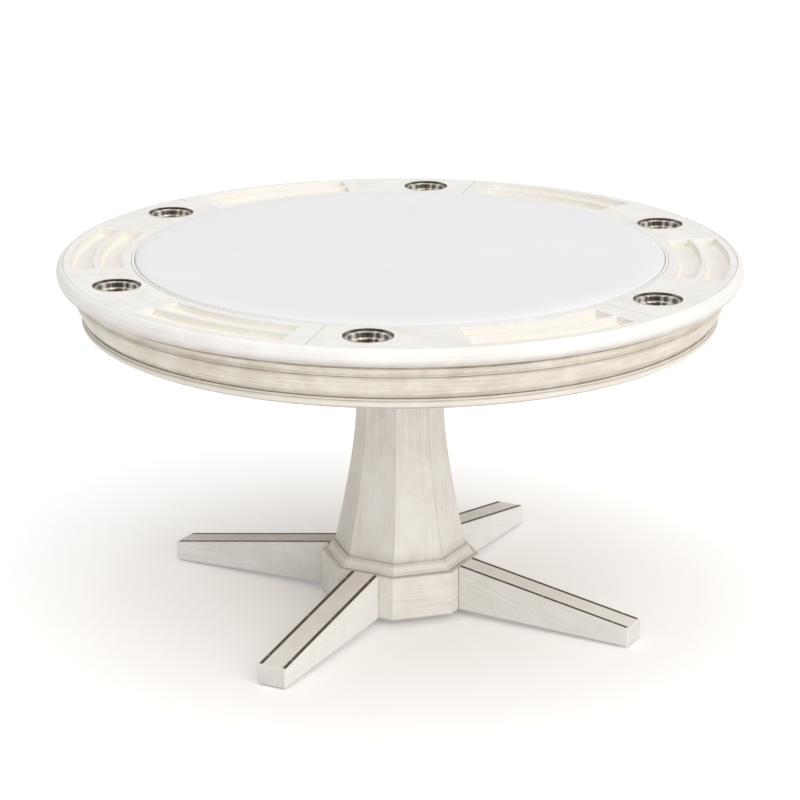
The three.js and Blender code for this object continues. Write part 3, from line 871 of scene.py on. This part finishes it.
def apron_bead():
    """The bead along the apron's foot."""
    corners = metres(APRON_BOTTOM, [
        (649.5, 0, 0.8, 0.2), (654.5, 0, 1.5, 0.6), (661, 3.6, 2.5, 0.5),
        (664.5, 6.5, 2.5, 0.06), (666, 10.5, 4, 0),
    ])
    corners += metres(APRON_TOP, [
        (665.5, -7.5, 2.5, 0), (663.2, -5.2, 0, 0.3), (662.4, -4.4, 0, 0.55),
        (662.8, -3.6, 0, 0.12), (662.4, -1.2, 0.4, 0.12), (660.8, -0.2, 0, 0.6),
        (649.5, -0.2, 0, 0.3),
    ])
    ring_moulding("apron_bead_ring", "apron_bead", rounded(corners), 0.5, 0.65)


# ---- pedestal

# Distances of the lines near a painted arris, in millimetres, with the glaze there.
ARRIS_LINES = ((0.12, 0.42), (0.5, 0.2), (1.2, 0.05), (2.4, 0), (6, 0))
FAR = 99.0  # from any arris
# The lines along one face of the octagon: the side, the distance and the glaze.
FACE_LINES = [(-1, d, g) for d, g in ARRIS_LINES]
FACE_LINES += [(side, FAR, 0) for side in (-0.5, 0, 0.5)]
FACE_LINES += [(1, d, g) for d, g in reversed(ARRIS_LINES)]


def arris_drop(distance, radius=3):
    """How far a rounded arris of the octagon lies inside its sharp corner's faces."""
    reach = radius * CORNER_TAN
    if distance >= reach:
        return 0.0
    return radius - sqrt(radius**2 - (reach - distance) ** 2)


def column_profile():
    """Corner radius and height up the column: straight above, a Bezier flare below."""
    foot, straight = 0.142, 0.0945
    low, high = CAP_TOP - 0.3 * MM, CAP_TOP + 0.3097
    points = [(foot, COLUMN_FOOT), (foot, COLUMN_FOOT + 10 * MM)]
    controls = ((foot, low), (0.124, low + 0.085), (straight, high - 0.09), (straight, high))
    for step in range(37):
        t = step / 36
        weights = ((1 - t) ** 3, 3 * t * (1 - t) ** 2, 3 * t * t * (1 - t), t**3)
        radius = sum(w * c[0] for w, c in zip(weights, controls))
        height = sum(w * c[1] for w, c in zip(weights, controls))
        points.append((radius, height))
    points += [(straight, high + 0.09), (straight, high + 0.18), (straight, COLUMN_TOP)]
    return points


def column_stave(number, angle):
    """One mitred stave of the column, its strokes running up it."""
    shape = Shape(wash=0.6, tint=0.14)
    loops = []
    for radius, height in column_profile():
        apothem = radius * CORNER_COS
        half = apothem * CORNER_TAN
        inside = apothem - 22 * MM
        inner_half = inside * CORNER_TAN - 0.15 * MM
        foot = 0.22 * (1 - smoothstep(CAP_TOP, CAP_TOP + 6 * MM, height))
        foot += 0.2 * (1 - smoothstep(CAP_TOP, CAP_TOP + 28 * MM, height))
        loop = []
        for side, distance, glaze in FACE_LINES:
            x = side * (half - distance * MM if distance < FAR else half)
            point = spot(angle, apothem - arris_drop(distance) * MM, x, height)
            loop.append(shape.add(point, x + number, max(glaze, foot)))
        for x in (inner_half, -inner_half):
            loop.append(shape.add(spot(angle, inside, x, height), x + number))
        loops.append(loop)
    shape.loft(loops)
    make_piece(f"stave_{number}", shape, f"column_stave_{number}", sharp=20)


def octagon_moulding(name, node, outline, wash, tint):
    """A painted ring with eight flat sides, from a closed outline of its apothem."""
    shape = Shape(wash, tint)
    lengths = outline_lengths(outline)
    loops = []
    for angle in SIDE_ANGLES:
        for side, distance, line_glaze in FACE_LINES:
            loop = []
            for (apothem, height, glaze), across in zip(outline, lengths):
                x = apothem * CORNER_TAN
                if distance < FAR:
                    x -= min(distance * MM, x * 0.12 * distance)
                drop = min(arris_drop(distance) * MM, apothem * 0.01)
                point = spot(angle, apothem - drop, side * x, height)
                soaked = max(glaze, 0.5 * line_glaze)
                loop.append(shape.add(point, across + OCTAGON_SHIFT, soaked))
            loops.append(loop)
    shape.loft(loops, ring=True)
    make_piece(name, shape, node, sharp=24)


def cap_moulding():
    """The moulding round the column's foot: a bevel, a leaning band and a lip."""
    corners = metres(CAP_BOTTOM, [
        (142.7, 0, 0, 0.3), (158.5, 0, 0.5, 0.22), (159.8, 0.8, 0.6, 0.1),
        (160, 2, 0.6, 0.05), (159.5, 3.4, 0.8, 0.03), (156, 5, 1.5, 0.12),
        (153.8, 9, 2.5, 0.02),
    ], CORNER_COS)
    corners += metres(CAP_TOP, [
        (151, -4.6, 0.8, 0.02), (149.2, -3.3, 0.5, 0.3), (148.8, -2.6, 0.5, 0.1),
        (144.5, -0.2, 0.5, 0), (143, 0, 0, 0.35), (142.7, -0.6, 0, 0.8),
    ], CORNER_COS)
    outline = rounded(corners, steps=3)
    octagon_moulding("cap_moulding", "base_cap_moulding", outline, 0.38, 0.14)


def base_block():
    """The block that the legs are bolted to, open below for the bolts."""
    middle = (BLOCK_TOP - BLOCK_BOTTOM) / 2 / MM
    corners = metres(BLOCK_BOTTOM, [
        (62, 0, 0.5, 0), (171, 0, 1.5, 0.35), (171, 4, 0, 0.02), (171, middle, 0, 0),
    ], CORNER_COS)
    corners += metres(BLOCK_TOP, [
        (171, -4, 0, 0), (171, 0, 2.2, 0.1), (162.5, 0, 0, 0.15), (160, 0, 0, 0.22),
        (7.5, 0, 0, 0), (7.5, -34.3, 0, 0), (62, -34.3, 0, 0),
    ], CORNER_COS)
    octagon_moulding("pedestal_block", "base_block", rounded(corners), 0.5, 0.24)


# ---- legs


def leg_top_at(reach):
    """Height of a leg's sloping top."""
    run = LEG_TIP - 3.5 * MM - LEG_ROOT
    return LEG_ROOT_TOP - (LEG_ROOT_TOP - LEG_TIP_TOP) * (reach - LEG_ROOT) / run


def leg_bottom_at(reach):
    """Height of a leg's underside, which falls towards the tip."""
    along = (reach - LEG_ROOT) / (LEG_TIP - LEG_ROOT)
    return BLOCK_BOTTOM + (LEG_TIP_BOTTOM - BLOCK_BOTTOM) * along


# Painted shade and light on each leg's top between its strips: above 0 glaze brown, below 0 pale
# paint.
LEG_TOP_PAINTED_SHADING = (0, -0.25, -0.35, 0.2)


def leg_section(top, bottom, inset, groove, painted_top_shading):
    """A leg's cross-section as (sideways, height, glaze) points.

    groove is the depth of the strips' grooves; the last argument paints shade (above 0) and light
    (below 0) between them.
    """
    half = LEG_HALF_WIDTH - inset
    high, low = top - inset, bottom + inset
    outer, inner = STRIP_OFFSET + 3.8 * MM, STRIP_OFFSET - 3.8 * MM
    lip = 0.9 if groove else 0.0
    edge = 1.4 * MM
    right = [
        (half - 1.2 * MM, low, 0.22), (half - 0.35 * MM, low + 0.35 * MM, 0.18),
        (half, low + 1.2 * MM, 0.1), (half, low + 5 * MM, 0), (half, (high + low) / 2, 0),
        (half, high - 5 * MM, 0), (half, high - edge, 0),
        (half - 0.12 * edge, high - 0.6 * edge, 0.02),
        (half - 0.6 * edge, high - 0.12 * edge, 0.06), (half - edge, high, 0.16),
        (min(outer, half - edge), high, 0.4 * lip), (outer - 0.1 * MM, high - groove, lip),
        (inner + 0.1 * MM, high - groove, lip), (inner, high, 0.4 * lip),
        (inner - 1.5 * MM, high, painted_top_shading), (inner * 0.5, high, painted_top_shading),
    ]
    left = [(-x, z, g) for x, z, g in reversed(right)]
    return right + [(0, high, painted_top_shading)] + left + [(0, low, 0.1)]


def leg_stations():
    """(reach, inset, groove) along a leg: its root, its grooved top and its rounded tip."""
    on, off = 1.1 * MM, 0.0
    stations = [
        (LEG_ROOT, 0.6 * MM, off), (LEG_ROOT + 0.25 * MM, 0.2 * MM, off),
        (LEG_ROOT + 0.7 * MM, 0, off), (STRIP_START - 0.5 * MM, 0, off),
        (STRIP_START - 0.3 * MM, 0, on),
    ]
    stations += [(reach, 0, on) for reach in between(STRIP_START, STRIP_END, 12)]
    stations += [(STRIP_END + 0.3 * MM, 0, on), (STRIP_END + 0.5 * MM, 0, off)]
    soft = 2.6 * MM
    tip = [(LEG_TIP - soft + soft * s, soft * (1 - c), off) for c, s in arc(0, 20, 40, 60, 78, 90)]
    return stations + tip


def leg(number, angle):
    """A leg: a level bar that tapers to its tip, with two grooves in its top."""
    shape = Shape(wash=0.32, tint=0.05)
    loops = []
    for reach, inset, groove in leg_stations():
        top = leg_top_at(min(reach, LEG_TIP - 2 * MM))
        section = leg_section(top, leg_bottom_at(reach), inset, groove, LEG_TOP_PAINTED_SHADING[number - 1])
        root = 0.85 * (1 - smoothstep(0.3 * MM, 1.6 * MM, reach - LEG_ROOT))
        tip = 0.16 * smoothstep(LEG_TIP - 1 * MM, LEG_TIP, reach)
        loop = []
        for (x, z, glaze), across in zip(section, outline_lengths(section)):
            soaked = max(glaze, root, tip)
            across += number * LEG_SHIFT
            # A leg top's value below 0 goes to the pale layer as painted light.
            loop.append(shape.add(spot(angle, reach, x, z), across, soaked, pale=max(-glaze, 0)))
        loops.append(loop)
    shape.loft(loops)
    make_piece(f"leg_{number}_body", shape, f"leg_{number}", sharp=40)


def leg_strip(number, angle, offset, name):
    """A bronze strip let into a leg's top."""
    half, soft = 3 * MM, 0.5 * MM
    shape = Shape()
    loops = []
    stations = [(STRIP_START, soft), (STRIP_START + 0.2 * MM, 0.15 * MM), (STRIP_START + soft, 0)]
    stations += [(reach, 0) for reach in between(STRIP_START, STRIP_END, 24)]
    stations += [(STRIP_END - soft, 0), (STRIP_END - 0.2 * MM, 0.15 * MM), (STRIP_END, soft)]
    for reach, inset in stations:
        top = leg_top_at(reach) + STRIP_PROUD - inset
        low = leg_top_at(reach) - STRIP_SUNK
        edge = half - inset
        section = [
            (edge, low, 0), (edge, top - soft, 0.25), (edge - 0.15 * soft, top - 0.15 * soft, 0.7),
            (edge - soft, top, 0.45), (edge - 3 * soft, top, 0), (0, top + 0.05 * MM, 0),
        ]
        section += [(-x, z, g) for x, z, g in reversed(section[:-1])]
        loops.append([shape.add(spot(angle, reach, offset + x, z), x, g) for x, z, g in section])
    shape.loft(loops)
    node = f"leg_{number}_strip_{name}"
    make_piece(f"strip_{number}_{name}", shape, node, "aged_bronze", sharp=40)


def strip_pins():
    """The small domed pins that hold the strips, three to each."""
    shape = Shape()
    pin_radius, pin_height = 2.1 * MM, 1.3 * MM
    reaches = (STRIP_START + 0.032, (STRIP_START + STRIP_END) / 2, STRIP_END - 0.031)
    for angle, offset, reach in product(LEG_ANGLES, (-STRIP_OFFSET, STRIP_OFFSET), reaches):
        base = leg_top_at(reach) + STRIP_PROUD - 0.25 * MM
        dome = [(0, base, 0), (pin_radius, base, 0)]
        dome += [(pin_radius * c, base + pin_height * s, 0) for c, s in arc(15, 35, 55, 75)]
        dome.append((0, base + pin_height, 0))
        turned(shape, dome, 16, spot(angle, reach, offset, 0), closed=False)
    shape.pale = [1] * len(shape.points)
    make_piece("strip_pins", shape, slot="aged_bronze", sharp=50)


def leveler(number, angle):
    """A nylon foot on a threaded stem."""
    outline = rounded(metres(0, [
        (0, 0, 0, 0), (15, 0, 0.8, 0), (16, 1, 0.5, 0), (15.8, 2.4, 1, 0), (9, 3.7, 1, 0),
        (4, 3.7, 0, 0),
    ]))
    pitch = 1.5 * MM
    for thread in range(16):
        base = 4.2 * MM + thread * pitch
        outline += [(3.4 * MM, base, 0), (4 * MM, base + 0.5 * pitch, 0)]
    outline += [(3.2 * MM, 29.4 * MM, 0), (2.4 * MM, 30 * MM, 0), (0, 30 * MM, 0)]
    shape = Shape()
    turned(shape, outline, 32, spot(angle, LEVELER_REACH, 0, 0), closed=False)
    node, body = f"leveler_{number}", f"leveler_foot_{number}"
    make_piece(f"foot_{number}", shape, node, "leveler_plastic", body, 50)


# ---- fixings under the top


def screws():
    """Wood screws that hold the battens and the plate to the board above."""
    shape = Shape()
    batten_low = heights("support_batten_1")[0]
    plate_low = heights("mounting_plate")[0]
    heads = []
    for angle in LEG_ANGLES:
        for reach in (0.21, 0.36, 0.51):
            heads += [spot(angle, reach, offset, batten_low) for offset in (-0.018, 0.018)]
        heads.append(spot(angle + 45, 0.125, 0, plate_low))
    outline = (
        (0, -0.6), (1.6, -0.6), (1.9, -1.9), (3.6, -1.5), (4.4, -0.5), (4.5, 0.1), (2.2, 0.3),
        (2.2, 12), (0, 12),
    )
    for head in heads:
        screw = [(radius * MM, head.z + rise * MM, 0) for radius, rise in outline]
        turned(shape, screw, 18, head, closed=False)
    make_piece("wood_screws", shape, slot="zinc_steel", sharp=40)


def glue_blocks():
    """Triangular blocks glued between the rail's underside and the apron."""
    shape = Shape()
    half, clearance = 28 * MM, 0.9 * MM
    top = RAIL_BOTTOM - 0.3 * MM
    section = [
        (0.625, top), (0.6665, top), (0.6665, COVE_BOTTOM + 0.7 * MM),
        (0.6535, BAND_BOTTOM + 16.5 * MM), (0.648, BAND_BOTTOM + 20.5 * MM),
    ]
    middle = Vector((0.655, COVE_BOTTOM + 2 * MM))
    count = 12
    for i in range(count):
        angle = FIRST_SEAM + CUP_ANGLE + 15 + i * 360 / count
        loops = []
        for x, inset in ((-half, 0.02), (-half + 1 * MM, 0), (half - 1 * MM, 0), (half, 0.02)):
            loop = []
            for reach, height in section:
                toward = (middle - Vector((reach, height))) * inset
                reach += toward.x - clearance
                loop.append(shape.add(spot(angle, reach, x, height + toward.y)))
            loops.append(loop)
        shape.loft(loops)
    make_piece("apron_glue_blocks", shape, slot="bare_wood", sharp=30)


def soften_cad(names, width, finish):
    """Gives CAD nodes that keep their own shape a finish and eased edges."""
    for name in names:
        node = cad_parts[name]
        node.data.materials.clear()
        node.data.materials.append(FINISHES[finish])
        bevel = node.modifiers.new("eased_edges", "BEVEL")
        bevel.width = width
        bevel.segments = 2
        bevel.limit_method = "ANGLE"
        bevel.angle_limit = radians(30)


# ---- the table

for index in range(SEGMENTS):
    rail_segment(index + 1, FIRST_SEAM + index * SEGMENT_ANGLE)
    cup_liner(index + 1)
edge_nosing()
inner_bead()
playing_panel()
apron_cove()
apron_band()
apron_bead()
for index, side_angle in enumerate(SIDE_ANGLES):
    column_stave(index + 1, side_angle)
cap_moulding()
base_block()
for index, leg_angle in enumerate(LEG_ANGLES):
    leg(index + 1, leg_angle)
    leg_strip(index + 1, leg_angle, -STRIP_OFFSET, "left")
    leg_strip(index + 1, leg_angle, STRIP_OFFSET, "right")
    leveler(index + 1, leg_angle)
strip_pins()
screws()
glue_blocks()
boards = ("sub_top", "panel_board", "mounting_plate", "column_top_plug", "column_base_plug")
soften_cad(boards, 0.6 * MM, "bare_wood")
soften_cad([f"support_batten_{number}" for number in range(1, 5)], 1.5 * MM, "bare_wood")
soften_cad([f"leg_bolt_{number}" for number in range(1, 5)], 0.4 * MM, "zinc_steel")
soften_cad(("tie_rod", "tie_rod_top_nut", "tie_rod_base_nut"), 0.4 * MM, "zinc_steel")


# ---- floor, light, camera


def floor():
    """A plain pale floor."""
    n = Nodes("floor_paper")
    tone = n.noise(n.place(), 1.5, detail=2)
    n.set(color=n.blend(n.span(tone, 0.3, 0.7), (0.915, 0.915, 0.915), (0.925, 0.925, 0.925)))
    n.set(roughness=0.85, specular=0.1, emission_color=(1, 1, 1), emission_strength=0.13)
    mesh = bpy.data.meshes.new("floor")
    half = 400
    corners = [(-half, -half, 0), (half, -half, 0), (half, half, 0), (-half, half, 0)]
    mesh.from_pydata(corners, [], [(0, 1, 2, 3)])
    mesh.materials.append(n.material)
    link("floor", mesh)


def sun_light(name, azimuth, elevation, spread, strength, color):
    """A soft light from far off: azimuth as the table's directions, spread across it."""
    data = bpy.data.lights.new(name, "SUN")
    data.angle = radians(spread)
    data.energy = strength
    data.color = color
    away = direction(azimuth) * cos(radians(elevation))
    away.z = sin(radians(elevation))
    link(name, data).rotation_euler = (-away).to_track_quat("-Z", "Y").to_euler()


def studio():
    """A soft dome, darker towards the horizon, with a low warm key and a high light."""
    world = bpy.data.worlds.new("studio")
    world.use_nodes = True
    tree = world.node_tree
    background = tree.nodes["Background"]
    way = tree.nodes.new("ShaderNodeTexCoord")
    split = tree.nodes.new("ShaderNodeSeparateXYZ")
    height = tree.nodes.new("ShaderNodeMapRange")
    height.inputs["To Min"].default_value = 0.20
    height.inputs["To Max"].default_value = 0.98
    tree.links.new(way.outputs["Generated"], split.inputs[0])
    tree.links.new(split.outputs["Z"], height.inputs["Value"])
    tree.links.new(height.outputs[0], background.inputs["Strength"])
    background.inputs["Color"].default_value = (1, 1, 1, 1)
    bpy.context.scene.world = world
    sun_light("key", 36, 19, 55, 1.38, (1, 0.985, 0.965))
    sun_light("top", 10, 78, 70, 0.88, (1, 1, 1))


def camera():
    """The view of the whole table from the front, a little above it."""
    data = bpy.data.cameras.new("camera")
    data.sensor_width = 36
    data.lens = 123.05
    data.clip_end = 2000
    seen = link("camera", data)
    distance, height, downward = 5.545, 2.202, 17.52
    seen.location = (0, -distance, height)
    seen.rotation_euler = (radians(90 - downward), 0, 0)
    bpy.context.scene.camera = seen


floor()
studio()
camera()
bpy.context.scene.view_settings.view_transform = "Standard"
